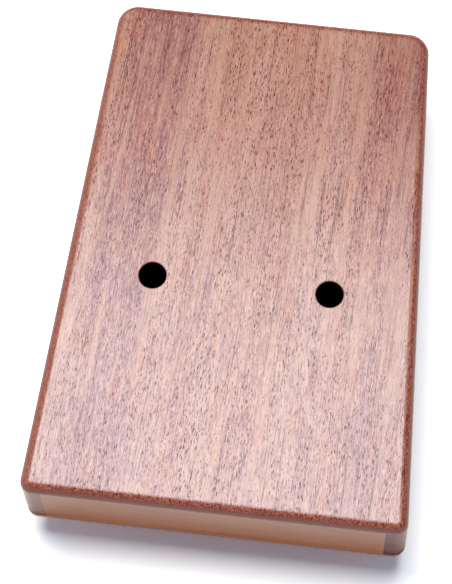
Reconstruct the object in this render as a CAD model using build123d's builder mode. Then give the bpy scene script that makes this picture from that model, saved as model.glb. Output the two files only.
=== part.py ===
"""Kalimba: a box thumb piano with plucked steel tines, lying face down with its back board up."""

import os
from math import asin, atan, atan2, cos, hypot, radians, sin

from build123d import *

# Sound box
body_length = 185.0
bridge_end_width = 134.3
player_end_width = 112.3
box_thickness = 35.6
board_thickness = 3.4
rim_land = 0.1
front_rim_round = 1.2
side_thickness = 7.6
bridge_end_corner = 4.2
player_end_corner = 7.6
bridge_block_thickness = 12.0
player_block_thickness = 10.0

# Openings in the boards
vibrato_hole_diameter = 9.8
vibrato_hole_spacing = 62.4
vibrato_hole_offset = 10.2
vibrato_hole_bevel = 0.25
sound_hole_diameter = 30.0
sound_hole_offset = 36.0
sound_hole_round = 0.8

# Tines, counted across the instrument from the player's left
tine_count = 17
tine_thickness = 1.0
tip_to_tip_gap = 1.5
tip_corner_share = 0.36
tail_corner_share = 0.2
longest_speaking_length = 63.0
tail_overhang = 10.0
lip_radius = 14.0
lip_angle = radians(18)
rear_slope = radians(7)

# Bridge: two strips with a rod each, and the bar that holds the tines down between them
bridge_end_to_saddle = 46.0
saddle_to_bar = 8.0
bar_to_rear_rest = 8.0
rod_diameter = 3.0
rod_end_bevel = 0.4
rod_end_inset = 1.0
strip_end_margin = 6.2
strip_width_share = 1.05
strip_top_share = 0.68
strip_edge_round = 0.8
rod_seat_depth = 1.0
saddle_strip_height = 7.2
bar_end_margin = 3.4
bar_round = 3.0
bar_back_height = 1.5
bar_edge_bevel = 0.5

# Screws that pull the bar down, and what they turn into
screw_diameter = 2.5
screw_head_diameter = 4.8
screw_head_height = 2.0
screw_head_round = 0.7
screw_socket_across = 1.5
screw_socket_depth = 1.1
screw_end_bevel = 0.3
screw_to_insert_end = 1.0
end_screw_to_side = 4.5
end_screw_pitch_share = 0.75
inner_screw_tines_from_middle = 2
insert_wall = 0.75
insert_length = 9.0
brace_width = 18.0
brace_height = 11.0
brace_edge_bevel = 1.0

# Clearances
pivot_gap = 0.03
clamp_gap = 0.33
rod_seat_gap = 0.04
screw_hole_gap = 0.1
tine_to_screw_gap = 0.3
brace_end_gap = 0.3
insert_gap = 0.03
thread_gap = 0.03

# Musical scale: semitones of a major scale's notes within one octave
scale_semitones = (0, 2, 4, 5, 7, 9, 11)
octave_semitones = 12

# Places worked out from the sizes above, with heights on the face counted outwards from the front board
half_length = body_length / 2
rim_round = board_thickness - rim_land
taper = atan((bridge_end_width - player_end_width) / 2 / body_length)
side_run = side_thickness / cos(taper)
saddle_y = bridge_end_to_saddle - half_length
saddle_to_rear_rest = saddle_to_bar + bar_to_rear_rest
rod_radius = rod_diameter / 2
pivot_height = saddle_strip_height - rod_seat_depth + rod_radius
pivot_radius = rod_radius + pivot_gap


def half_width(y):
    """Half the box's width at a distance y from its middle."""
    bridge_half = bridge_end_width / 2
    player_half = player_end_width / 2
    return bridge_half + (player_half - bridge_half) * (y + half_length) / body_length


def inner_half_width(y):
    """Half the space between the two side boards at y."""
    return half_width(y) - side_run


def on_rear_slope(distance_behind, distance_out):
    """Give the (y, height) of a point by its distances along and out from a tine's rear run."""
    along = -distance_behind * cos(rear_slope) - distance_out * sin(rear_slope)
    out = -distance_behind * sin(rear_slope) + distance_out * cos(rear_slope)
    return saddle_y + along, pivot_height + out


bar_axis_y, bar_axis_height = on_rear_slope(
    saddle_to_bar, pivot_radius + tine_thickness + clamp_gap + bar_round
)
rear_axis_y, rear_axis_height = on_rear_slope(
    saddle_to_rear_rest, pivot_radius - clamp_gap - rod_radius
)
rear_strip_height = rear_axis_height - rod_radius + rod_seat_depth
bar_back = bar_axis_height + bar_back_height
hardware_height = bar_back + screw_head_height

# The end screws stand just inside the side boards, and the tines fill the width between them
end_screw_x = inner_half_width(bar_axis_y) - end_screw_to_side
tine_pitch = end_screw_x / ((tine_count - 1) / 2 + end_screw_pitch_share)
outer_tine_x = (tine_count - 1) / 2 * tine_pitch
strip_length = 2 * (outer_tine_x + strip_end_margin)
rod_length = strip_length - 2 * rod_end_inset
front_face = hardware_height
front_inside = front_face + board_thickness
back_face = front_face + box_thickness
back_inside = back_face - board_thickness
wall_height = back_inside - front_inside
inner_screw_x = (inner_screw_tines_from_middle + 1 / 2) * tine_pitch
bar_length = 2 * (end_screw_x + bar_end_margin)
screw_length = front_inside + insert_length - screw_to_insert_end - screw_head_height
insert_diameter = screw_diameter + 2 * insert_wall
tine_root_width = tine_pitch - screw_diameter - 2 * tine_to_screw_gap
tine_tip_width = tine_pitch - tip_to_tip_gap
screw_places = [(x, bar_axis_y) for x in (-end_screw_x, -inner_screw_x, inner_screw_x, end_screw_x)]

# The tines rise from the saddle so that the longest tip is level with the screw heads
lip_inner_radius = lip_radius - tine_thickness
longest_straight = longest_speaking_length - lip_radius * lip_angle
rise_cosine = pivot_radius + lip_radius - lip_inner_radius * cos(lip_angle)
rise_sine = longest_straight + lip_inner_radius * sin(lip_angle)
front_slope = asin((hardware_height - pivot_height) / hypot(rise_cosine, rise_sine)) - atan2(
    rise_cosine, rise_sine
)

os.makedirs("parts", exist_ok=True)


def plan_corners():
    """Give the four corners of the box's plan before they are rounded."""
    bridge_half = half_width(-half_length)
    player_half = half_width(half_length)
    return [
        (-bridge_half, -half_length),
        (bridge_half, -half_length),
        (player_half, half_length),
        (-player_half, half_length),
    ]


def side_strip(side):
    """Give the plan of a side board before its corners are rounded; side is -1 or 1."""
    return [
        (side * half_width(-half_length), -half_length),
        (side * inner_half_width(-half_length), -half_length),
        (side * inner_half_width(half_length), half_length),
        (side * half_width(half_length), half_length),
    ]


def block_plan(y_low, y_high):
    """Give the plan of an end block between the side boards."""
    return [
        (-inner_half_width(y_low), y_low),
        (inner_half_width(y_low), y_low),
        (inner_half_width(y_high), y_high),
        (-inner_half_width(y_high), y_high),
    ]


def save(piece, name):
    """Name a finished piece and write its STEP file."""
    piece.part.label = name
    export_step(piece.part, f"parts/{name}.step")


# Back board, with the two holes that the player's fingers open and close for a vibrato
with BuildPart() as back_board:
    with BuildSketch(Plane.XY.offset(back_inside)) as back_plan:
        Polygon(*plan_corners(), align=None)
        fillet(back_plan.vertices().group_by(Axis.Y)[0], radius=bridge_end_corner)
        fillet(back_plan.vertices().group_by(Axis.Y)[-1], radius=player_end_corner)
    extrude(amount=board_thickness)
    fillet(back_board.faces().sort_by(Axis.Z)[-1].edges(), radius=rim_round)
    with Locations(
        (-vibrato_hole_spacing / 2, -vibrato_hole_offset, back_face),
        (vibrato_hole_spacing / 2, -vibrato_hole_offset, back_face),
    ):
        Hole(radius=vibrato_hole_diameter / 2)
    hole_rims = back_board.faces().sort_by(Axis.Z)[-1].inner_wires()
    chamfer([rim.edge() for rim in hole_rims], length=vibrato_hole_bevel)
save(back_board, "back_board")

# Front board, with the sound hole and the holes for the bar's screws
with BuildPart() as front_board:
    with BuildSketch(Plane.XY.offset(front_face)) as front_plan:
        Polygon(*plan_corners(), align=None)
        fillet(front_plan.vertices().group_by(Axis.Y)[0], radius=bridge_end_corner)
        fillet(front_plan.vertices().group_by(Axis.Y)[-1], radius=player_end_corner)
    extrude(amount=board_thickness)
    fillet(front_board.faces().sort_by(Axis.Z)[0].edges(), radius=front_rim_round)
    with Locations((0, sound_hole_offset, front_face)):
        Hole(radius=sound_hole_diameter / 2)
    hole_rims = front_board.faces().sort_by(Axis.Z)[0].inner_wires()
    fillet([rim.edge() for rim in hole_rims], radius=sound_hole_round)
    with Locations(*[(x, y, front_face) for x, y in screw_places]):
        Hole(radius=screw_diameter / 2 + screw_hole_gap)
save(front_board, "front_board")

# Side boards, which run the whole length and carry the round corners
for side, side_name in ((-1, "left_side"), (1, "right_side")):
    with BuildPart() as side_board:
        with BuildSketch(Plane.XY.offset(front_inside)) as side_plan:
            Polygon(*plan_corners(), align=None)
            fillet(side_plan.vertices().group_by(Axis.Y)[0], radius=bridge_end_corner)
            fillet(side_plan.vertices().group_by(Axis.Y)[-1], radius=player_end_corner)
            Polygon(*side_strip(side), align=None, mode=Mode.INTERSECT)
        extrude(amount=wall_height)
    save(side_board, side_name)

# End blocks between the side boards
for low, high, block_name in (
    (-half_length, -half_length + bridge_block_thickness, "bridge_end_block"),
    (half_length - player_block_thickness, half_length, "player_end_block"),
):
    with BuildPart() as end_block:
        with BuildSketch(Plane.XY.offset(front_inside)) as block_outline:
            Polygon(*plan_corners(), align=None)
            fillet(block_outline.vertices().group_by(Axis.Y)[0], radius=bridge_end_corner)
            fillet(block_outline.vertices().group_by(Axis.Y)[-1], radius=player_end_corner)
            Polygon(*block_plan(low, high), align=None, mode=Mode.INTERSECT)
        extrude(amount=wall_height)
    save(end_block, block_name)

# Brace glued inside the front board, under the bar, to hold the threaded inserts
with BuildPart() as bridge_brace:
    with BuildSketch(Plane.XY.offset(front_inside)):
        with Locations((0, bar_axis_y)):
            Rectangle(2 * (inner_half_width(bar_axis_y + brace_width / 2) - brace_end_gap), brace_width)
    extrude(amount=brace_height)
    chamfer(bridge_brace.faces().sort_by(Axis.Z)[-1].edges(), length=brace_edge_bevel)
    with Locations(*[(x, y, front_inside) for x, y in screw_places]):
        Hole(radius=insert_diameter / 2 + insert_gap)
save(bridge_brace, "bridge_brace")

with BuildPart() as threaded_inserts:
    with BuildSketch(Plane.XY.offset(front_inside)):
        with Locations(*screw_places):
            Circle(insert_diameter / 2)
            Circle(screw_diameter / 2 + thread_gap, mode=Mode.SUBTRACT)
    extrude(amount=insert_length)
save(threaded_inserts, "threaded_inserts")

# Wooden strips on the front board and the metal rods seated in their tops
for axis_y, axis_height, strip_height, bar_distance, strip_name, rod_name in (
    (saddle_y, pivot_height, saddle_strip_height, saddle_to_bar, "saddle_strip", "saddle_rod"),
    (
        rear_axis_y,
        rear_axis_height,
        rear_strip_height,
        bar_to_rear_rest,
        "rear_rest_strip",
        "rear_rest_rod",
    ),
):
    base_half = bar_distance * strip_width_share / 2
    top_half = base_half * strip_top_share
    with BuildPart() as strip:
        with BuildSketch(Plane.YZ.offset(-strip_length / 2)) as strip_section:
            Polygon(
                (axis_y - base_half, front_face),
                (axis_y + base_half, front_face),
                (axis_y + top_half, front_face - strip_height),
                (axis_y - top_half, front_face - strip_height),
                align=None,
            )
            fillet(strip_section.vertices().group_by(Axis.Y)[0], radius=strip_edge_round)
            with Locations((axis_y, front_face - axis_height)):
                Circle(rod_radius + rod_seat_gap, mode=Mode.SUBTRACT)
        extrude(amount=strip_length)
    save(strip, strip_name)

    with BuildPart() as rod:
        with BuildSketch(Plane.YZ.offset(-rod_length / 2)):
            with Locations((axis_y, front_face - axis_height)):
                Circle(rod_radius)
        extrude(amount=rod_length)
        chamfer(rod.edges(), length=rod_end_bevel)
    save(rod, rod_name)

# Pressure bar, half round where it presses on the tines and flat under the screw heads
with BuildPart() as pressure_bar:
    with BuildSketch(Plane.YZ.offset(-bar_length / 2)):
        with Locations((bar_axis_y, front_face - bar_axis_height)):
            Circle(bar_round)
        with Locations((bar_axis_y, front_face - bar_back)):
            Rectangle(2 * bar_round, bar_back_height, align=(Align.CENTER, Align.MIN))
        with Locations((bar_axis_y, front_face - bar_back)):
            Rectangle(2 * bar_round, bar_round, align=(Align.CENTER, Align.MAX), mode=Mode.SUBTRACT)
    extrude(amount=bar_length)
    chamfer(pressure_bar.faces().sort_by(Axis.Z)[0].edges(), length=bar_edge_bevel)
    with Locations(*[(x, y, front_face) for x, y in screw_places]):
        Hole(radius=screw_diameter / 2 + screw_hole_gap)
save(pressure_bar, "pressure_bar")

# Screws with a hexagon socket in a low round head
with BuildPart() as bar_screws:
    with BuildSketch():
        with Locations(*screw_places):
            Circle(screw_head_diameter / 2)
    extrude(amount=screw_head_height)
    fillet(
        bar_screws.edges().filter_by(GeomType.CIRCLE).group_by(Axis.Z)[0], radius=screw_head_round
    )
    with BuildSketch(Plane.XY.offset(screw_head_height)):
        with Locations(*screw_places):
            Circle(screw_diameter / 2)
    extrude(amount=screw_length)
    chamfer(
        bar_screws.edges().filter_by(GeomType.CIRCLE).group_by(Axis.Z)[-1], length=screw_end_bevel
    )
    with BuildSketch():
        with Locations(*screw_places):
            RegularPolygon(screw_socket_across / 2, side_count=6, major_radius=False)
    extrude(amount=screw_socket_depth, mode=Mode.SUBTRACT)
save(bar_screws, "bar_screws")


def note_number(position):
    """Give the scale note of a tine: the lowest in the middle, then by turns to the left and right."""
    from_middle = position - (tine_count - 1) // 2
    return 2 * from_middle if from_middle >= 0 else -2 * from_middle - 1


def speaking_length(note):
    """Give a tine's length past the saddle: it falls with the square root of the note's pitch."""
    octave, degree = divmod(note, len(scale_semitones))
    semitones = octave * octave_semitones + scale_semitones[degree]
    return longest_speaking_length / 2 ** (semitones / (2 * octave_semitones))


def lip_point(straight, radius, angle):
    """Give the (y, z) of a point on a tine's turned-up lip."""
    along = straight + radius * sin(angle)
    out = pivot_radius + lip_radius - radius * cos(angle)
    return (
        saddle_y + along * cos(front_slope) - out * sin(front_slope),
        front_face - pivot_height - along * sin(front_slope) - out * cos(front_slope),
    )


def saddle_point(radius, slope):
    """Give the (y, z) of a point on the short bend over the saddle rod."""
    return saddle_y - radius * sin(slope), front_face - pivot_height - radius * cos(slope)


def tail_point(radius):
    """Give the (y, z) of a corner at a tine's tail."""
    y, height = on_rear_slope(saddle_to_rear_rest + tail_overhang, radius)
    return y, front_face - height


# Tines: spring-steel tongues, bent over the saddle rod and turned up at the tip
for position in range(tine_count):
    tine_x = (position - (tine_count - 1) / 2) * tine_pitch
    straight = speaking_length(note_number(position)) - lip_radius * lip_angle
    board_side = pivot_radius
    player_side = pivot_radius + tine_thickness
    middle_slope = (rear_slope + front_slope) / 2
    tip_y = lip_point(straight, lip_radius, lip_angle)[0]
    tail_y = tail_point(board_side)[0]
    with BuildPart() as tine:
        with BuildSketch(Plane.YZ.offset(tine_x - tine_tip_width / 2)):
            with BuildLine():
                Line(tail_point(board_side), saddle_point(board_side, rear_slope))
                ThreePointArc(
                    saddle_point(board_side, rear_slope),
                    saddle_point(board_side, middle_slope),
                    saddle_point(board_side, front_slope),
                )
                Line(saddle_point(board_side, front_slope), lip_point(straight, lip_radius, 0))
                ThreePointArc(
                    lip_point(straight, lip_radius, 0),
                    lip_point(straight, lip_radius, lip_angle / 2),
                    lip_point(straight, lip_radius, lip_angle),
                )
                Line(
                    lip_point(straight, lip_radius, lip_angle),
                    lip_point(straight, lip_inner_radius, lip_angle),
                )
                ThreePointArc(
                    lip_point(straight, lip_inner_radius, lip_angle),
                    lip_point(straight, lip_inner_radius, lip_angle / 2),
                    lip_point(straight, lip_inner_radius, 0),
                )
                Line(lip_point(straight, lip_inner_radius, 0), saddle_point(player_side, front_slope))
                ThreePointArc(
                    saddle_point(player_side, front_slope),
                    saddle_point(player_side, middle_slope),
                    saddle_point(player_side, rear_slope),
                )
                Line(saddle_point(player_side, rear_slope), tail_point(player_side))
                Line(tail_point(player_side), tail_point(board_side))
            make_face()
        extrude(amount=tine_tip_width)
        with BuildSketch() as tine_plan:
            Polygon(
                (tine_x - tine_root_width / 2, tail_y),
                (tine_x + tine_root_width / 2, tail_y),
                (tine_x + tine_root_width / 2, saddle_y),
                (tine_x + tine_tip_width / 2, tip_y),
                (tine_x - tine_tip_width / 2, tip_y),
                (tine_x - tine_root_width / 2, saddle_y),
                align=None,
            )
            tip_corners = tine_plan.vertices().group_by(Axis.Y)[-1]
            fillet(tip_corners, radius=tine_tip_width * tip_corner_share)
            tail_corners = tine_plan.vertices().group_by(Axis.Y)[0]
            fillet(tail_corners, radius=tine_root_width * tail_corner_share)
        extrude(amount=front_face, mode=Mode.INTERSECT)
    save(tine, f"tine_{position + 1:02d}")
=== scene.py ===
"""A box kalimba lying face down: finishes, softened tines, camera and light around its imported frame."""

from collections import namedtuple
from math import pi, radians

import bpy
from mathutils import Matrix, Vector


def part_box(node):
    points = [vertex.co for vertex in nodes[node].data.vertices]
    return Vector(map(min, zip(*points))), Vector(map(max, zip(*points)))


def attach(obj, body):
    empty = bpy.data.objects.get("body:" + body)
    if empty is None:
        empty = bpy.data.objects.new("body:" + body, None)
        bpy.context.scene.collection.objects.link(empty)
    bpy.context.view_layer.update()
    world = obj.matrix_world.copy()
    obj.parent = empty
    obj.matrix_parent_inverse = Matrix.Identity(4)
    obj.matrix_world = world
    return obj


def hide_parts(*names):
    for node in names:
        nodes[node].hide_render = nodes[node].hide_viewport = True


bl_info = {
    "name": "Box Kalimba",
    "version": (1, 0, 0),
    "blender": (4, 5, 0),
    "location": "3D View > Sidebar > Kalimba",
    "description": "Dresses a box kalimba in wood and steel and sets its studio",
    "category": "Object",
}

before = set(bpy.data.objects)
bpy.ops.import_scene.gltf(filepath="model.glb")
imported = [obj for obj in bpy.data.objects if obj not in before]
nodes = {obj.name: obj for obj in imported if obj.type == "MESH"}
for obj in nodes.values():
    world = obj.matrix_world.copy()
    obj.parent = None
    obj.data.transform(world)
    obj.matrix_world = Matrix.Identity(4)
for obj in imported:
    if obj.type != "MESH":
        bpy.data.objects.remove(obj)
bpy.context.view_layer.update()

MM = 0.001

# Widths of the box's two ends, as in the part's source
BRIDGE_END_WIDTH = 134.3 * MM
PLAYER_END_WIDTH = 112.3 * MM

back_low, back_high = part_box("back_board")
front_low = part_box("front_board")[0]
board_width = back_high.x - back_low.x
board_length = back_high.y - back_low.y
tine_names = sorted(name for name in nodes if name.startswith("tine_"))

# Where the camera of the photograph stood, over the middle of the back board
CAMERA_PLACE = Vector((0.05424, -0.33496, back_high.z + 0.94754))
CAMERA_LOOK = Vector((-0.05895, 0.32072, -0.94534))
CAMERA_UP = Vector((-0.10839, 0.93933, 0.32544))
CAMERA_FOCAL_PIXELS = 2869.0
CAMERA_SENSOR = 36.0
# Well past the far side of the floor
CAMERA_REACH = 20
PHOTO_HEIGHT = 584

# The middle value of a noise: a stain that starts there covers half of the wood
MIDDLE = 0.5
# How far a ribbon's edge strays to either side, as a share of the board's width
RIBBON_WAVER = 0.03
# A bundle of fibres shows over this many times its width
FIBRE_LENGTHS = 10
# A small pore's size and darkness, as shares of a large one's
SMALL_PORE_SIZE = 0.6
SMALL_PORE_DEPTH = 0.9
# The front board was cut from another stretch of the same plank
FRONT_PLANK_SHIFT = (6 * MM, 210 * MM, 20 * MM)
# How far outside the sheet's outline, and inside the flat face, the round rim's pattern reaches
RIM_OUTLINE_SPARE = 0.4 * MM
RIM_FACE_SPARE = 0.35 * MM
LACQUER_IOR = 1.5
OIL_IOR = 1.47

# The floor's window for the low light stays this share of the board's width and length from its middle
WINDOW_ACROSS = 0.47
WINDOW_ALONG = 0.48

# A polishing line is this many times as long as the lines' spacing
POLISH_LENGTHS = 60

# Clean-up and softening of a stamped tine
WELD_DISTANCE = 0.001 * MM
FLAT_ANGLE = radians(0.3)
STAMPED_EDGE_ANGLE = radians(40)
SMOOTH_ANGLE = radians(35)
EDGE_STEPS = 2


def linear(hex_colour):
    """Turn an sRGB hex value into a linear colour."""
    channels = [int(hex_colour[i:i + 2], 16) / 255 for i in (1, 3, 5)]
    values = [c / 12.92 if c <= 0.04045 else ((c + 0.055) / 1.055) ** 2.4 for c in channels]
    return (*values, 1.0)


def colour(hex_colour, name, description):
    """Describe a colour that the user may change."""
    return bpy.props.FloatVectorProperty(
        name=name, description=description, subtype="COLOR", size=4, min=0, max=1,
        default=linear(hex_colour),
    )


def length(default_mm, name, description):
    """Describe a length that the user may change, given in millimetres."""
    return bpy.props.FloatProperty(
        name=name, description=description, subtype="DISTANCE", unit="LENGTH", min=0,
        precision=5, default=default_mm * MM,
    )


def strength(default, name, description):
    """Describe a brightness, a gloss or another plain number that the user may change."""
    return bpy.props.FloatProperty(name=name, description=description, min=0, default=default)


class KalimbaWoodSettings(bpy.types.PropertyGroup):
    """Colours and grain sizes of the kalimba's woods."""

    sapele_pale: colour("#E9A892", "Sapele pale", "Pale ribbons of the sapele boards")
    sapele_red: colour("#E0967E", "Sapele red", "Red ribbons of the sapele boards")
    sapele_brown: colour("#DD9079", "Sapele brown", "Brown ribbons of the sapele boards")
    sapele_purple: colour("#C97E75", "Sapele purple", "Purple ribbons of the sapele boards")
    sapele_blush: colour("#E08060", "Sapele blush", "Warm red patches of the sapele boards")
    sapele_cream: colour("#F4BC9A", "Sapele cream", "Lightest fibres of the sapele boards")
    sapele_pore: colour("#6E2E2A", "Sapele pore", "Open pores and darkest fibres of the sapele")
    # Painted shade: the near-black blue inside the holes and the box stands in for the shade there, besides the
    # holes' charred walls
    sapele_shaded_inside: colour("#1B1C33", "Sapele dyed", "Dark dye inside the holes and the box")
    sapele_rim: colour("#CC6C56", "Sapele rim", "Lacquered round rim of the boards")
    sapele_rim_light: colour("#E0967A", "Sapele rim light", "Light flecks in the rim")
    sapele_rim_dark: colour("#742E2A", "Sapele rim dark", "Dark flecks in the rim, where pores are cut across")
    # Painted reflection: the foot of the rim is coloured paler and greyer, as the pale floor mirrored there
    sapele_rim_reflection: colour("#B5786C", "Sapele rim low", "Thicker lacquer at the foot of the rim")
    cool_sheen: colour("#E6F0FF", "Cool sheen", "Sheen of the boards' lacquer where the fibres dip")
    warm_sheen: colour("#F9FAFE", "Warm sheen", "Sheen of the boards' lacquer where the fibres lie flat")
    # Painted light and shade: the side boards are one wood, the left tone a lit copy and the right a shaded
    # copy; the right tone is also the painted shade on the back board's far right corner
    sapele_side_lit: colour("#BC6E5F", "Sapele left", "Stained side board on the left, the lighter plank")
    sapele_shaded_red: colour("#8C3B33", "Sapele right", "Stained side board on the right, and the heartwood's red")
    side_fibre: colour("#7E423B", "Side fibre", "Dark fibres of the side boards")
    side_glow: colour("#B07068", "Side glow", "Broad lighter streaks of the side boards")
    side_sheen: colour("#FFDCCE", "Side sheen", "Sheen of the side boards' lacquer")
    beech: colour("#F29767", "Beech", "Pale end blocks")
    beech_line: colour("#CF8454", "Beech line", "Fine grain lines of the beech")
    beech_light: colour("#EDAE82", "Beech light", "Broad lighter streaks of the beech")
    beech_fleck: colour("#A86A44", "Beech fleck", "Ray flecks of the beech")
    beech_sheen: colour("#FFE2AE", "Beech sheen", "Sheen of the end blocks' lacquer")
    walnut: colour("#5A3A28", "Walnut", "Strips under the rods")
    walnut_line: colour("#33200F", "Walnut line", "Dark lines of the walnut")
    walnut_pore: colour("#1C110A", "Walnut pore", "Open pores of the walnut")
    grain_turn: bpy.props.FloatProperty(
        name="Grain turn", description="How far the back board's grain leans from its length",
        subtype="ANGLE", unit="ROTATION", default=radians(2.6),
    )
    grain_lean: strength(0.22, "Grain lean", "How much neighbouring layers of interlocked grain lean apart")
    left_gloss: strength(0.75, "Left gloss", "Gloss of the left side board at the back board")
    right_gloss: strength(0.4, "Right gloss", "Gloss of the right side board at the back board")
    # Painted shade in the gloss: it falls over this height towards the foot, for the floor's shadow mirrored
    # there
    shaded_gloss_height: length(31.0, "Rubbed height", "Height over which the lacquer goes from rubbed to full gloss")
    rim_width: length(3.22, "Rim width", "Width of the sanded round rim around the back board's face")
    front_rim_width: length(1.30, "Front rim width", "Width of the softened edge around the front board's face")
    fibre_width: length(0.35, "Fibre width", "Width of one bundle of fibres")
    pore_width: length(0.74, "Pore spacing across", "Distance between neighbouring pores across the grain")
    pore_length: length(2.9, "Pore spacing along", "Distance between neighbouring pores along the grain")


class KalimbaMetalSettings(bpy.types.PropertyGroup):
    """Colours and edges of the kalimba's metal pieces."""

    spring_steel: colour("#C9C8C6", "Spring steel", "Polished tines")
    spring_film: colour("#9A948C", "Spring steel film", "Handled patches of the tines")
    ground_steel: colour("#BDBDBF", "Ground steel", "Rods under the tines")
    ground_film: colour("#8F8C88", "Ground steel film", "Dull patches of the rods")
    nickel: colour("#CFCBC2", "Nickel", "Plated pressure bar")
    nickel_film: colour("#A39E93", "Nickel film", "Dull patches of the pressure bar")
    zinc: colour("#B4B6BA", "Zinc", "Plated screws")
    zinc_film: colour("#8E929B", "Zinc film", "Dull patches of the screws")
    brass: colour("#C9A45A", "Brass", "Threaded inserts")
    brass_film: colour("#A37C38", "Brass film", "Tarnish of the inserts")
    tine_edge: length(0.14, "Tine edge", "Width of the softened edges of a tine")
    scratch_width: length(0.12, "Scratch width", "Spacing of the polishing lines")


class KalimbaStageSettings(bpy.types.PropertyGroup):
    """Floor and light of the studio."""

    floor_size: length(6000, "Floor size", "Side of the square floor")
    box_height: length(1500, "Softbox height", "Height of the large softbox over the floor")
    box_width: length(880, "Softbox width", "Width of the large softbox")
    box_left: length(150, "Softbox left", "How far to the left of the kalimba the softbox hangs")
    box_far_edge: length(546, "Softbox far edge", "How far the softbox reaches behind the kalimba")
    box_near_edge: length(80, "Softbox near edge", "How far the softbox reaches before the kalimba")
    box_level: strength(8.48, "Softbox level", "Brightness of the softbox's face")
    low_box_depth: length(1300, "Low softbox depth", "How far the low softbox lies under the floor")
    low_box_right: length(100, "Low softbox right", "How far to the right the low softbox lies")
    low_box_near: length(200, "Low softbox near", "How far before the kalimba the low softbox lies")
    low_box_size: length(1400, "Low softbox size", "Side of the low softbox")
    low_box_level: strength(1.25, "Low softbox level", "Brightness of the low softbox's face")
    paper: colour("#F1F0F3", "Paper", "The floor's paper as the light meets it")
    paper_shown: colour("#F9FFFD", "Paper shown", "The floor's paper as the camera sees it")
    paper_mirrored: colour("#FFF3EA", "Paper mirrored", "The floor's paper as lacquer and metal mirror it")
    floor_shown: strength(2.6, "Floor shown", "How bright the camera sees the lit paper")
    floor_mirrored: strength(1.6, "Floor mirrored", "How bright lacquer and metal mirror the paper")
    fill: colour("#DAE4FF", "Fill", "Light from all round")
    backdrop: colour("#FFFFFF", "Backdrop", "White behind the floor, as the camera sees it")
    world_level: strength(0.16, "World level", "Brightness of the light from all round")


def add(tree, kind, links=None, out=0, stops=(), **settings):
    """Add a node and give one of its outputs; links are its inputs, as values or sockets, settings the rest."""
    made = tree.nodes.new("ShaderNode" + kind)
    for name, value in settings.items():
        setattr(made, name, value)
    for index, (place, value) in enumerate(stops):
        stop = made.color_ramp.elements[index] if index < 2 else made.color_ramp.elements.new(place)
        stop.position = place
        stop.color = value
    for socket, value in (links or {}).items():
        if isinstance(value, bpy.types.NodeSocket):
            tree.links.new(value, made.inputs[socket])
        else:
            made.inputs[socket].default_value = value
    return made.outputs[out] if len(made.outputs) else None


def new_material(name):
    """Start a material with an empty tree and give it with its tree and its object coordinates."""
    material = bpy.data.materials.new(name)
    material.use_nodes = True
    material.node_tree.nodes.clear()
    return material, material.node_tree, add(material.node_tree, "TexCoord", out="Object")


def grain(tree, place, across, along, detail=3.0, rough=0.6, warp=0.0):
    """Give streaks of a real size, by their width and length."""
    cell = add(tree, "Mapping", {"Vector": place, "Scale": (1 / across, 1 / along, 1 / across)})
    return add(tree, "TexNoise", {"Vector": cell, "Scale": 1.0, "Detail": detail, "Roughness": rough,
                                  "Distortion": warp})


def dashes(tree, place, across, along, reach, share):
    """Give short dashes, about one to a cell of the given size, each of its own depth; share thins them out."""
    cell = add(tree, "Mapping", {"Vector": place, "Scale": (1 / across, 1 / along, 1 / across)})
    distance = add(tree, "TexVoronoi", {"Vector": cell, "Scale": 1.0}, feature="F1", out="Distance")
    chance = add(tree, "TexVoronoi", {"Vector": cell, "Scale": 1.0}, feature="F1", out="Color")
    depth = add(tree, "MapRange", {"Value": add(tree, "SeparateColor", {"Color": chance}),
                                   "From Min": share, "From Max": 0.0})
    # The low power leaves few dashes faint
    depth = add(tree, "Math", {0: depth, 1: 0.35}, operation="POWER")
    inside = add(tree, "Math", {0: reach, 1: distance}, operation="SUBTRACT")
    mark = add(tree, "MapRange", {"Value": inside, "From Min": -0.02, "From Max": 0.08})
    return add(tree, "Math", {0: mark, 1: depth}, operation="MULTIPLY")


def stain(tree, base, tone, pattern, start=0.0, full=1.0, amount=1.0):
    """Lay a tone over the base, from where the pattern is at start to where it is at full."""
    cover = add(tree, "MapRange", {"Value": pattern, "From Min": start, "From Max": full, "To Max": amount})
    return add(tree, "Mix", {0: cover, 6: base, 7: tone}, out=2, data_type="RGBA")


def assign(material, *names):
    """Give a material to CAD nodes."""
    for name in names:
        slots = nodes[name].data.materials
        slots.clear()
        slots.append(material)


# The patterns that run through a sapele board, and the coordinates that they are laid in
Figure = namedtuple("Figure", "turned leaning cloud fibre crowd cut pores")


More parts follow.
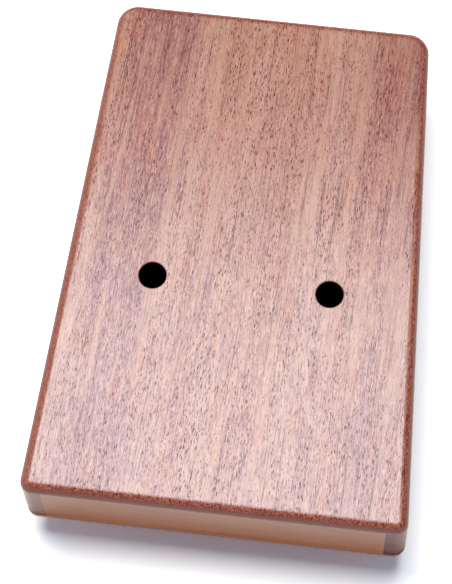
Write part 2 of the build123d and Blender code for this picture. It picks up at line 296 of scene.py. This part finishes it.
def sapele_figure(tree, place, shift, woods):
    """Give the patterns of quartered sapele: clouds, fibres, and pores that are crowded in some layers only."""
    turned = add(tree, "Mapping", {"Vector": place, "Rotation": (0, 0, woods.grain_turn), "Location": shift})
    along = add(tree, "SeparateXYZ", {"Vector": turned}, out="Y")

    # Interlocked grain: neighbouring layers of the trunk lean to either side
    layer = grain(tree, turned, across=60 * MM, along=900 * MM, detail=0.0)
    lean = add(tree, "Math", {0: layer, 1: -MIDDLE}, operation="ADD")
    slide = add(tree, "Math", {0: lean, 1: woods.grain_lean}, operation="MULTIPLY")
    slide = add(tree, "Math", {0: slide, 1: along}, operation="MULTIPLY")
    leaning = add(tree, "VectorMath", {0: turned, 1: add(tree, "CombineXYZ", {"X": slide})}, operation="ADD")

    crowd = grain(tree, leaning, across=4.5 * MM, along=80 * MM, detail=2.0)
    reach = add(tree, "MapRange", {
        "Value": crowd, "From Min": 0.35, "From Max": 0.58, "To Min": 0.18, "To Max": 0.32,
    })
    large = dashes(tree, leaning, woods.pore_width, woods.pore_length, reach, share=0.9)
    small_width = SMALL_PORE_SIZE * woods.pore_width
    small_length = SMALL_PORE_SIZE * woods.pore_length
    small = dashes(tree, leaning, small_width, small_length, reach, share=0.9)
    small = add(tree, "Math", {0: small, 1: SMALL_PORE_DEPTH}, operation="MULTIPLY")
    # Single fibres are far finer, so whole bundles are drawn, as coarse as they need to be to show
    fibre_length = FIBRE_LENGTHS * woods.fibre_width
    return Figure(
        turned=turned,
        leaning=leaning,
        cloud=grain(tree, leaning, across=2.2 * MM, along=14 * MM, detail=3.0, rough=0.65, warp=0.2),
        fibre=grain(tree, leaning, across=woods.fibre_width, along=fibre_length, detail=4.0, rough=0.8),
        crowd=crowd,
        cut=grain(tree, leaning, across=0.42 * MM, along=1.2 * MM, detail=2.0, rough=0.6),
        pores=add(tree, "Math", {0: large, 1: small}, operation="MAXIMUM"),
    )


def sapele_face(tree, place, figure, woods):
    """Give the colours of a board's flat: ribbons along it, crossed by clouds, fibres, long lines and pores."""
    across = add(tree, "SeparateXYZ", {"Vector": figure.turned}, out="X")
    along = add(tree, "SeparateXYZ", {"Vector": figure.turned}, out="Y")
    waver = add(tree, "MapRange", {
        "Value": grain(tree, figure.turned, across=9 * MM, along=110 * MM),
        "To Min": -RIBBON_WAVER, "To Max": RIBBON_WAVER,
    })
    # The ribbon's place goes from 0 at the left side of the board to 1 at the right
    ribbon = add(tree, "Math", {0: across, 1: 1 / board_width, 2: 0.5}, operation="MULTIPLY_ADD")
    ribbon = add(tree, "Math", {0: ribbon, 1: waver}, operation="ADD")
    pale, red, purple, brown = woods.sapele_pale, woods.sapele_red, woods.sapele_purple, woods.sapele_brown
    wood = add(tree, "ValToRGB", {"Fac": ribbon}, stops=(
        (0.03, red), (0.09, pale), (0.13, purple), (0.26, purple), (0.29, pale), (0.33, pale), (0.36, brown),
        (0.41, brown), (0.45, pale), (0.47, pale), (0.50, red), (0.56, brown), (0.61, brown), (0.66, pale),
        (0.71, pale), (0.78, red), (0.83, brown), (0.88, purple), (0.95, brown),
    ))
    wood = stain(tree, wood, woods.sapele_cream, figure.cloud, start=MIDDLE, full=0.74, amount=0.45)
    wood = stain(tree, wood, woods.sapele_purple, figure.cloud, start=MIDDLE, full=0.28, amount=0.35)
    blush = grain(tree, figure.leaning, across=5 * MM, along=17 * MM, detail=2.0, rough=0.5)
    wood = stain(tree, wood, woods.sapele_blush, blush, start=MIDDLE, full=0.66, amount=0.55)
    wood = stain(tree, wood, woods.sapele_cream, figure.fibre, start=MIDDLE, full=0.66, amount=0.95)
    wood = stain(tree, wood, woods.sapele_pore, figure.fibre, start=MIDDLE, full=0.29)
    line = grain(tree, figure.leaning, across=0.55 * MM, along=50 * MM, detail=3.0, rough=0.6)
    wood = stain(tree, wood, woods.sapele_pore, line, start=0.56, full=0.67, amount=0.8)

    # The middle of the back board is painted paler towards the player's end, a painted sheen where the
    # softbox's sheen falls short
    from_middle = add(tree, "Math", {0: add(tree, "SeparateXYZ", {"Vector": place})}, operation="ABSOLUTE")
    middle = add(tree, "MapRange", {
        "Value": from_middle, "From Min": 0.30 * board_width, "From Max": 0.12 * board_width,
    })
    far = add(tree, "MapRange", {"Value": along, "From Max": 0.35 * back_high.y})
    painted_sheen = add(tree, "Math", {0: middle, 1: far}, operation="MULTIPLY")
    wood = stain(tree, wood, woods.sapele_cream, painted_sheen, amount=0.22)
    # Layers with few pores are paler
    wood = stain(tree, wood, woods.sapele_cream, figure.crowd, start=0.46, full=0.34, amount=0.40)
    # Painted shade: the far right corner, where the softbox's sheen falls off, is stained with the right side
    # board's shaded red
    right = add(tree, "MapRange", {"Value": ribbon, "From Min": 0.64, "From Max": 0.84})
    end = add(tree, "MapRange", {
        "Value": along, "From Min": 0.27 * back_high.y, "From Max": 0.75 * back_high.y,
    })
    painted_shade_corner = add(tree, "Math", {0: right, 1: end}, operation="MULTIPLY")
    wood = stain(tree, wood, woods.sapele_shaded_red, painted_shade_corner, amount=0.30)
    return stain(tree, wood, woods.sapele_pore, figure.pores)


def board_edges(tree, place, cut):
    """Give the distance to the tapered board's side, to its nearest edge, and how ragged the rim's line is."""
    beside = add(tree, "SeparateXYZ", {"Vector": place}, out="X")
    along = add(tree, "SeparateXYZ", {"Vector": place}, out="Y")
    half_width = add(tree, "MapRange", {
        "Value": along, "From Min": back_low.y, "From Max": back_high.y,
        "To Min": BRIDGE_END_WIDTH / 2 + RIM_OUTLINE_SPARE, "To Max": PLAYER_END_WIDTH / 2 + RIM_OUTLINE_SPARE,
    })
    out_x = add(tree, "Math", {0: beside}, operation="ABSOLUTE")
    out_y = add(tree, "Math", {0: along}, operation="ABSOLUTE")
    to_side = add(tree, "Math", {0: half_width, 1: out_x}, operation="SUBTRACT")
    to_end = add(tree, "Math", {0: back_high.y, 1: out_y}, operation="SUBTRACT")
    # The rim is a little narrower on the right
    narrower = add(tree, "MapRange", {
        "Value": beside, "From Min": -0.3 * board_width, "From Max": 0.3 * board_width, "To Max": 0.5 * MM,
    })
    to_side = add(tree, "Math", {0: to_side, 1: narrower}, operation="ADD")
    # The two distances blend into each other round the corner
    to_edge = add(tree, "Math", {0: to_side, 1: to_end, 2: 1.2 * MM}, operation="SMOOTH_MIN")
    # Towards the player's end the rim's inner line is soft and ragged, at the bridge end it is crisp
    ragged = add(tree, "MapRange", {
        "Value": along, "From Min": 0.8 * back_low.y, "From Max": back_high.y,
        "To Min": 0.12 * MM, "To Max": 1.5 * MM,
    })
    to_edge = add(tree, "Math", {0: cut, 1: ragged, 2: to_edge}, operation="MULTIPLY_ADD")
    return to_side, to_edge, ragged


def sapele_rim(tree, place, figure, to_side, below, woods):
    """Give the colours of the round rim: bare red wood with the cut pores as dark flecks, painted paler on the
    left as painted light and at its foot as painted reflection.
    """
    rim = stain(tree, woods.sapele_rim, woods.sapele_rim_light, figure.cut, start=MIDDLE, full=0.62, amount=0.9)
    rim = stain(tree, rim, woods.sapele_rim_dark, figure.cut, start=MIDDLE, full=0.38, amount=0.95)
    rim = stain(tree, rim, woods.sapele_rim_dark, figure.fibre, start=MIDDLE, full=0.30, amount=0.6)
    rim = stain(tree, rim, woods.sapele_rim_dark, figure.pores, amount=0.85)
    # The left rim, which faces the softbox, is painted paler as painted light
    left = add(tree, "MapRange", {
        "Value": add(tree, "SeparateXYZ", {"Vector": place}),
        "From Min": -0.2 * board_width, "From Max": -0.3 * board_width,
    })
    near_side = add(tree, "MapRange", {"Value": to_side, "From Min": 4.5 * MM, "From Max": 3.0 * MM})
    painted_light_left = add(tree, "Math", {0: left, 1: near_side}, operation="MULTIPLY")
    rim = stain(tree, rim, woods.sapele_rim_light, painted_light_left, amount=0.36)
    # Painted reflection of the pale floor on the lower part of the rim
    return stain(tree, rim, woods.sapele_rim_reflection, below, start=0.4 * MM, full=1.2 * MM, amount=0.8)


def lacquered_sapele(name, face_height, outward, rim_width, shift, woods):
    """Sapele sawn near the quarter under thin satin lacquer: ribbons, crossed by fibres and short open pores.

    The fibres take the sheen unevenly, cream where they lie flat and mauve where they dip. The round rim turns
    out of the light, so it shows the bare red of the wood, with the cut pores as dark flecks.
    """
    material, tree, place = new_material(name)
    figure = sapele_figure(tree, place, shift, woods)
    to_side, to_edge, ragged = board_edges(tree, place, figure.cut)
    height = add(tree, "SeparateXYZ", {"Vector": place}, out="Z")
    below = add(tree, "Math", {0: face_height, 1: height}, operation="SUBTRACT")
    below = add(tree, "Math", {0: below, 1: outward}, operation="MULTIPLY")

    # The rim is where the face is near the board's outline, or below its flat
    sanded = add(tree, "Math", {0: rim_width + RIM_FACE_SPARE, 1: to_edge}, operation="SUBTRACT")
    sanded = add(tree, "Math", {0: sanded, 1: ragged}, operation="DIVIDE")
    sanded = add(tree, "MapRange", {"Value": sanded, "From Max": 0.6})
    rounded = add(tree, "MapRange", {"Value": below, "From Min": 0.10 * MM, "From Max": 0.40 * MM})
    sanded = add(tree, "Math", {0: sanded, 1: rounded}, operation="MAXIMUM")
    wood = sapele_face(tree, place, figure, woods)
    wood = stain(tree, wood, sapele_rim(tree, place, figure, to_side, below, woods), sanded)

    # Inside the holes and the box the wood is coloured nearly black: painted shade for the dark inside of the
    # box, with the holes' laser-cut walls also charred dark
    inward = add(tree, "MapRange", {"Value": to_edge, "From Min": 2 * rim_width, "From Max": 2.1 * rim_width})
    deep = add(tree, "MapRange", {"Value": below, "From Min": 0.25 * MM, "From Max": 0.35 * MM})
    inside = add(tree, "Math", {0: inward, 1: deep}, operation="MULTIPLY")
    wood = stain(tree, wood, woods.sapele_shaded_inside, inside)

    # The gloss is uneven over the fibres, and low in open pores, on the rim and inside
    gloss = add(tree, "MapRange", {
        "Value": figure.fibre, "From Min": 0.28, "From Max": 0.72, "To Min": 0.42, "To Max": 0.88,
    })
    open_pore = add(tree, "Math", {0: figure.pores, 1: -0.65, 2: 1.0}, operation="MULTIPLY_ADD")
    on_rim = add(tree, "MapRange", {"Value": sanded, "To Min": 1.0, "To Max": 0.8})
    on_shaded_inside = add(tree, "MapRange", {"Value": inside, "To Min": 1.0, "To Max": 0.1})
    for share in (open_pore, on_rim, on_shaded_inside):
        gloss = add(tree, "Math", {0: gloss, 1: share}, operation="MULTIPLY")
    sheen = stain(tree, woods.cool_sheen, woods.warm_sheen, figure.cloud, start=0.36, full=0.64)
    relief = add(tree, "Math", {0: figure.fibre, 1: 0.6, 2: open_pore}, operation="MULTIPLY_ADD")
    bump = add(tree, "Bump", {"Strength": 0.25, "Distance": 0.03 * MM, "Height": relief})
    surface = add(tree, "BsdfPrincipled", {
        "Base Color": wood, "Roughness": 0.20, "IOR": LACQUER_IOR, "Specular IOR Level": gloss,
        "Specular Tint": sheen, "Normal": bump,
    })
    add(tree, "OutputMaterial", {"Surface": surface})
    return material


def gloss_shaded_at_foot(tree, place, woods, full, fall):
    """Give the walls' gloss, full at the back board and falling towards the tines, as painted shade for the
    floor's shadow mirrored at the foot.
    """
    height = add(tree, "SeparateXYZ", {"Vector": place}, out="Z")
    share = add(tree, "MapRange", {
        "Value": height, "From Min": back_high.z - woods.shaded_gloss_height, "From Max": back_high.z,
    })
    share = add(tree, "Math", {0: share, 1: fall}, operation="POWER")
    return add(tree, "Math", {0: share, 1: full}, operation="MULTIPLY")


def stained_sapele(name, tone, gloss, woods):
    """Stained sapele with satin lacquer: smooth, dark and slightly purple, with faint lengthwise fibre."""
    material, tree, place = new_material(name)
    fibre = grain(tree, place, across=0.5 * MM, along=30 * MM)
    glow = grain(tree, place, across=12 * MM, along=60 * MM, detail=2.0, rough=0.5)
    pores = dashes(tree, place, across=0.9 * MM, along=4 * MM, reach=0.25, share=0.8)
    wood = stain(tree, tone, woods.side_fibre, fibre, start=0.35, full=0.70, amount=0.5)
    wood = stain(tree, wood, woods.side_glow, glow, start=0.35, full=0.65, amount=0.4)
    wood = stain(tree, wood, woods.sapele_pore, pores, amount=0.5)
    rough = add(tree, "MapRange", {
        "Value": fibre, "From Min": 0.3, "From Max": 0.7, "To Min": 0.12, "To Max": 0.18,
    })
    surface = add(tree, "BsdfPrincipled", {
        "Base Color": wood, "Roughness": rough, "IOR": LACQUER_IOR, "Specular Tint": woods.side_sheen,
        "Specular IOR Level": gloss_shaded_at_foot(tree, place, woods, full=gloss, fall=1.0),
        "Normal": add(tree, "Bump", {"Strength": 0.15, "Distance": 0.03 * MM, "Height": fibre}),
    })
    add(tree, "OutputMaterial", {"Surface": surface})
    return material


def satin_beech(woods):
    """Planed beech under satin lacquer: even and pale, with fine grain and tiny brown ray flecks."""
    material, tree, place = new_material("Planed beech, satin lacquer")
    # The blocks' grain runs across the box, so a streak is long in x and short in y and z
    crosswise = add(tree, "Mapping", {"Vector": place, "Rotation": (0, 0, radians(90))})
    lines = grain(tree, crosswise, across=0.7 * MM, along=32 * MM, detail=4.0)
    light = grain(tree, crosswise, across=7 * MM, along=45 * MM, detail=2.0, rough=0.5)
    flecks = dashes(tree, crosswise, across=0.5 * MM, along=2.2 * MM, reach=0.25, share=0.7)
    wood = stain(tree, woods.beech, woods.beech_line, lines, start=0.46, full=0.70, amount=0.6)
    wood = stain(tree, wood, woods.beech_light, light, start=0.40, full=0.70, amount=0.5)
    wood = stain(tree, wood, woods.beech_fleck, flecks, amount=0.4)
    rough = add(tree, "MapRange", {
        "Value": lines, "From Min": 0.3, "From Max": 0.7, "To Min": 0.07, "To Max": 0.12,
    })
    surface = add(tree, "BsdfPrincipled", {
        "Base Color": wood, "Roughness": rough, "IOR": LACQUER_IOR, "Specular Tint": woods.beech_sheen,
        "Specular IOR Level": gloss_shaded_at_foot(tree, place, woods, full=1.0, fall=1.8),
        "Normal": add(tree, "Bump", {"Strength": 0.12, "Distance": 0.03 * MM, "Height": lines}),
    })
    add(tree, "OutputMaterial", {"Surface": surface})
    return material


def oiled_walnut(woods):
    """Oiled walnut strips: dark brown with long darker lines and a low sheen."""
    material, tree, place = new_material("Oiled walnut")
    crosswise = add(tree, "Mapping", {"Vector": place, "Rotation": (0, 0, radians(90))})
    lines = grain(tree, crosswise, across=0.8 * MM, along=24 * MM, detail=4.0)
    pores = dashes(tree, crosswise, across=0.6 * MM, along=4 * MM, reach=0.28, share=0.8)
    wood = stain(tree, woods.walnut, woods.walnut_line, lines, start=0.35, full=0.65, amount=0.75)
    wood = stain(tree, wood, woods.walnut_pore, pores, amount=0.7)
    rough = add(tree, "MapRange", {
        "Value": lines, "From Min": 0.3, "From Max": 0.7, "To Min": 0.46, "To Max": 0.60,
    })
    surface = add(tree, "BsdfPrincipled", {
        "Base Color": wood, "Roughness": rough, "IOR": OIL_IOR,
        "Normal": add(tree, "Bump", {"Strength": 0.25, "Distance": 0.04 * MM, "Height": lines}),
    })
    add(tree, "OutputMaterial", {"Surface": surface})
    return material


def brushed_metal(name, tint, film_tint, lines_size, rough_low, rough_high):
    """Polished or plated metal whose fine lines run the way it is finished, with a faint uneven film.

    Real lines are finer: the scratch width in the settings is as coarse as it needs to be to show.
    """
    material, tree, place = new_material(name)
    cell = add(tree, "Mapping", {"Vector": place, "Scale": tuple(1 / side for side in lines_size)})
    lines = add(tree, "TexNoise", {"Vector": cell, "Scale": 1.0, "Detail": 3.0, "Roughness": 0.6})
    film = grain(tree, place, across=7 * MM, along=7 * MM)
    metal = stain(tree, tint, film_tint, film, start=0.4, full=0.7, amount=0.35)
    rough = add(tree, "MapRange", {
        "Value": lines, "From Min": 0.3, "From Max": 0.7, "To Min": rough_low, "To Max": rough_high,
    })
    rougher = add(tree, "MapRange", {"Value": film, "From Min": 0.4, "From Max": 0.7, "To Max": 0.06})
    surface = add(tree, "BsdfPrincipled", {
        "Base Color": metal, "Metallic": 1.0,
        "Roughness": add(tree, "Math", {0: rough, 1: rougher}, operation="ADD"),
        "Normal": add(tree, "Bump", {"Strength": 0.12, "Distance": 0.01 * MM, "Height": lines}),
    })
    add(tree, "OutputMaterial", {"Surface": surface})
    return material


class KALIMBA_OT_finish_boards(bpy.types.Operator):
    """Lacquer the back and front boards"""

    bl_idname = "kalimba.finish_boards"
    bl_label = "Finish Boards"

    def execute(self, context):
        woods = context.scene.kalimba_woods
        back = lacquered_sapele(
            "Quartered sapele back, satin lacquer", face_height=back_high.z, outward=1.0,
            rim_width=woods.rim_width, shift=(0, 0, 0), woods=woods,
        )
        front = lacquered_sapele(
            "Quartered sapele front, satin lacquer", face_height=front_low.z, outward=-1.0,
            rim_width=woods.front_rim_width, shift=FRONT_PLANK_SHIFT, woods=woods,
        )
        assign(back, "back_board")
        assign(front, "front_board")
        return {"FINISHED"}


class KALIMBA_OT_finish_walls(bpy.types.Operator):
    """Stain the side boards and lacquer the end blocks and the brace"""

    bl_idname = "kalimba.finish_walls"
    bl_label = "Finish Walls"

    def execute(self, context):
        woods = context.scene.kalimba_woods
        # Lit and shaded copies of one wood, with different tone and gloss: painted light on the left, painted
        # shade on the right
        left = stained_sapele("Left sapele side, satin lacquer", woods.sapele_side_lit, woods.left_gloss, woods)
        right = stained_sapele("Right sapele side, satin lacquer", woods.sapele_shaded_red, woods.right_gloss, woods)
        assign(left, "left_side")
        assign(right, "right_side")
        assign(satin_beech(woods), "bridge_end_block", "player_end_block", "bridge_brace")
        return {"FINISHED"}


class KALIMBA_OT_finish_bridge(bpy.types.Operator):
    """Finish the strips, rods, pressure bar, screws and inserts"""

    bl_idname = "kalimba.finish_bridge"
    bl_label = "Finish Bridge"

    def execute(self, context):
        metals = context.scene.kalimba_metals
        fine = metals.scratch_width
        long_line = POLISH_LENGTHS * fine
        # Ground round, so its lines go round the rod and spread the light along it
        ground = brushed_metal(
            "Ground silver steel", metals.ground_steel, metals.ground_film,
            lines_size=(fine, long_line, long_line), rough_low=0.18, rough_high=0.30,
        )
        # Bright warm plate over lengthwise polishing lines
        nickel = brushed_metal(
            "Nickel-plated steel", metals.nickel, metals.nickel_film,
            lines_size=(long_line, fine, fine), rough_low=0.14, rough_high=0.24,
        )
        # Dull bluish plate, even in all directions
        zinc = brushed_metal(
            "Zinc-plated steel", metals.zinc, metals.zinc_film,
            lines_size=(2 * fine, 2 * fine, 2 * fine), rough_low=0.28, rough_high=0.42,
        )
        # Turned, so its lines go round the insert
        brass = brushed_metal(
            "Turned brass", metals.brass, metals.brass_film,
            lines_size=(long_line, long_line, fine), rough_low=0.24, rough_high=0.36,
        )
        assign(oiled_walnut(context.scene.kalimba_woods), "saddle_strip", "rear_rest_strip")
        assign(ground, "saddle_rod", "rear_rest_rod")
        assign(nickel, "pressure_bar")
        assign(zinc, "bar_screws")
        assign(brass, "threaded_inserts")
        return {"FINISHED"}


class KALIMBA_OT_soften_tines(bpy.types.Operator):
    """Replace each tine by a copy whose stamped edges are softened"""

    bl_idname = "kalimba.soften_tines"
    bl_label = "Soften Tines"

    def execute(self, context):
        metals = context.scene.kalimba_metals
        fine = metals.scratch_width
        # Polished along the tongue, with grey patches where thumbs have handled it
        steel = brushed_metal(
            "Polished spring steel", metals.spring_steel, metals.spring_film,
            lines_size=(fine, POLISH_LENGTHS * fine, fine), rough_low=0.20, rough_high=0.34,
        )
        for name in tine_names:
            piece = nodes[name].copy()
            piece.data = nodes[name].data.copy()
            piece.name = "softened_" + name
            for key in list(piece.keys()):
                del piece[key]
            piece.parent = None
            context.scene.collection.objects.link(piece)
            bpy.ops.object.select_all(action="DESELECT")
            piece.select_set(True)
            context.view_layer.objects.active = piece
            bpy.ops.object.mode_set(mode="EDIT")
            bpy.ops.mesh.select_all(action="SELECT")
            bpy.ops.mesh.remove_doubles(threshold=WELD_DISTANCE)
            bpy.ops.mesh.dissolve_limited(angle_limit=FLAT_ANGLE)
            bpy.ops.mesh.normals_make_consistent(inside=False)
            bpy.ops.object.mode_set(mode="OBJECT")
            bevel = piece.modifiers.new("Softened edge", "BEVEL")
            bevel.width = metals.tine_edge
            bevel.segments = EDGE_STEPS
            bevel.limit_method = "ANGLE"
            bevel.angle_limit = STAMPED_EDGE_ANGLE
            bpy.ops.object.modifier_apply(modifier=bevel.name)
            bpy.ops.object.shade_smooth_by_angle(angle=SMOOTH_ANGLE)
            piece.data.materials.clear()
            piece.data.materials.append(steel)
            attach(piece, name)
            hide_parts(name)
        return {"FINISHED"}


class KALIMBA_OT_set_stage(bpy.types.Operator):
    """Lay the floor, hang the softboxes and set the camera"""

    bl_idname = "kalimba.set_stage"
    bl_label = "Set Stage"

    def execute(self, context):
        stage = context.scene.kalimba_stage
        bpy.ops.object.select_all(action="DESELECT")
        bpy.ops.mesh.primitive_plane_add(size=stage.floor_size, location=(0, 0, 0))
        floor = context.object
        floor.name = "studio_floor"
        floor.data.materials.append(white_floor(stage))
        # The large softbox's far edge ends the sheen on the back board; the low one lights the tines' side
        middle = (stage.box_far_edge - stage.box_near_edge) / 2
        hang_softbox(
            "softbox", place=(-stage.box_left, middle, stage.box_height), turn=0,
            width=stage.box_width, depth=stage.box_far_edge + stage.box_near_edge, level=stage.box_level,
        )
        hang_softbox(
            "low_softbox", place=(stage.low_box_right, -stage.low_box_near, -stage.low_box_depth), turn=pi,
            width=stage.low_box_size, depth=stage.low_box_size, level=stage.low_box_level,
        )
        light_world(context.scene, stage)
        set_camera(context.scene)
        context.scene.view_settings.view_transform = "Standard"
        return {"FINISHED"}


def white_floor(stage):
    """Matt white paper, shown to the camera as bright as an overexposed studio sweep.

    Lacquer and metal mirror it a little brighter too. It is clear from below, and right under the kalimba it
    lets the low softbox shine on the tines.
    """
    material, tree, place = new_material("Matt white paper")
    seen = add(tree, "LightPath", out="Is Camera Ray")
    mirrored = add(tree, "LightPath", out="Is Glossy Ray")
    paper_shown = tuple(stage.floor_shown * share for share in stage.paper_shown)
    paper_mirrored = tuple(stage.floor_mirrored * share for share in stage.paper_mirrored)
    paper = stain(tree, stage.paper, paper_shown, seen)
    paper = stain(tree, paper, paper_mirrored, mirrored)
    matt = add(tree, "BsdfDiffuse", {"Color": paper})

    # The window is for light that comes straight from the low softbox, not for the camera or bounced light
    out = add(tree, "VectorMath", {0: place}, operation="ABSOLUTE")
    out_x = add(tree, "SeparateXYZ", {"Vector": out}, out="X")
    out_y = add(tree, "SeparateXYZ", {"Vector": out}, out="Y")
    in_width = add(tree, "Math", {0: out_x, 1: WINDOW_ACROSS * board_width}, operation="LESS_THAN")
    in_length = add(tree, "Math", {0: out_y, 1: WINDOW_ALONG * board_length}, operation="LESS_THAN")
    window = add(tree, "Math", {0: in_width, 1: in_length}, operation="MULTIPLY")
    for kept_out in (seen, add(tree, "LightPath", out="Diffuse Depth")):
        window = add(tree, "Math", {0: window, 1: kept_out}, operation="SUBTRACT", use_clamp=True)
    clear = add(tree, "Math", {0: add(tree, "NewGeometry", out="Backfacing"), 1: window}, operation="MAXIMUM")
    shown = add(tree, "MixShader", {0: clear, 1: matt, 2: add(tree, "BsdfTransparent")})
    add(tree, "OutputMaterial", {"Surface": shown})
    return material


def hang_softbox(name, place, turn, width, depth, level):
    """Hang a softbox; a lamp's power over its face's area and pi is the brightness of its face."""
    bpy.ops.object.light_add(type="AREA", location=place, rotation=(turn, 0, 0))
    lamp = bpy.context.object
    lamp.name = name
    lamp.data.shape = "RECTANGLE"
    lamp.data.size = width
    lamp.data.size_y = depth
    lamp.data.energy = level * width * depth * pi
    lamp.visible_camera = False


def light_world(scene, stage):
    """Fill with even light, faintly blue, and show plain white behind the floor."""
    world = bpy.data.worlds.new("Studio")
    world.use_nodes = True
    tree = world.node_tree
    tree.nodes.clear()
    fill = add(tree, "Background", {"Color": stage.fill, "Strength": stage.world_level})
    white = add(tree, "Background", {"Color": stage.backdrop, "Strength": 1.0})
    camera_ray = add(tree, "LightPath", out="Is Camera Ray")
    add(tree, "OutputWorld", {"Surface": add(tree, "MixShader", {0: camera_ray, 1: fill, 2: white})})
    scene.world = world


def set_camera(scene):
    """Put the camera where the photograph's camera stood."""
    bpy.ops.object.camera_add()
    camera = bpy.context.object
    camera.name = "photo_camera"
    back = -CAMERA_LOOK.normalized()
    right = CAMERA_UP.cross(back).normalized()
    up = back.cross(right)
    turned = Matrix((right, up, back)).transposed()
    camera.matrix_world = Matrix.Translation(CAMERA_PLACE) @ turned.to_4x4()
    camera.data.sensor_width = CAMERA_SENSOR
    camera.data.lens = CAMERA_FOCAL_PIXELS * CAMERA_SENSOR / PHOTO_HEIGHT
    camera.data.clip_end = CAMERA_REACH
    scene.camera = camera


class KALIMBA_PT_workshop(bpy.types.Panel):
    """The steps that dress the kalimba"""

    bl_idname = "KALIMBA_PT_workshop"
    bl_label = "Box Kalimba"
    bl_space_type = "VIEW_3D"
    bl_region_type = "UI"
    bl_category = "Kalimba"

    def draw(self, context):
        column = self.layout.column()
        for operator in OPERATORS:
            column.operator(operator.bl_idname)


OPERATORS = (
    KALIMBA_OT_finish_boards,
    KALIMBA_OT_finish_walls,
    KALIMBA_OT_finish_bridge,
    KALIMBA_OT_soften_tines,
    KALIMBA_OT_set_stage,
)
SETTINGS = (
    ("kalimba_woods", KalimbaWoodSettings),
    ("kalimba_metals", KalimbaMetalSettings),
    ("kalimba_stage", KalimbaStageSettings),
)


def register():
    """Register the settings, the operators and the panel."""
    for name, group in SETTINGS:
        bpy.utils.register_class(group)
        setattr(bpy.types.Scene, name, bpy.props.PointerProperty(type=group))
    for operator in OPERATORS:
        bpy.utils.register_class(operator)
    bpy.utils.register_class(KALIMBA_PT_workshop)


def unregister():
    """Undo what register did."""
    bpy.utils.unregister_class(KALIMBA_PT_workshop)
    for operator in reversed(OPERATORS):
        bpy.utils.unregister_class(operator)
    for name, group in reversed(SETTINGS):
        delattr(bpy.types.Scene, name)
        bpy.utils.unregister_class(group)


def main():
    """Dress the kalimba."""
    register()
    bpy.ops.kalimba.finish_boards()
    bpy.ops.kalimba.finish_walls()
    bpy.ops.kalimba.finish_bridge()
    bpy.ops.kalimba.soften_tines()
    bpy.ops.kalimba.set_stage()


if __name__ == "__main__":
    main()
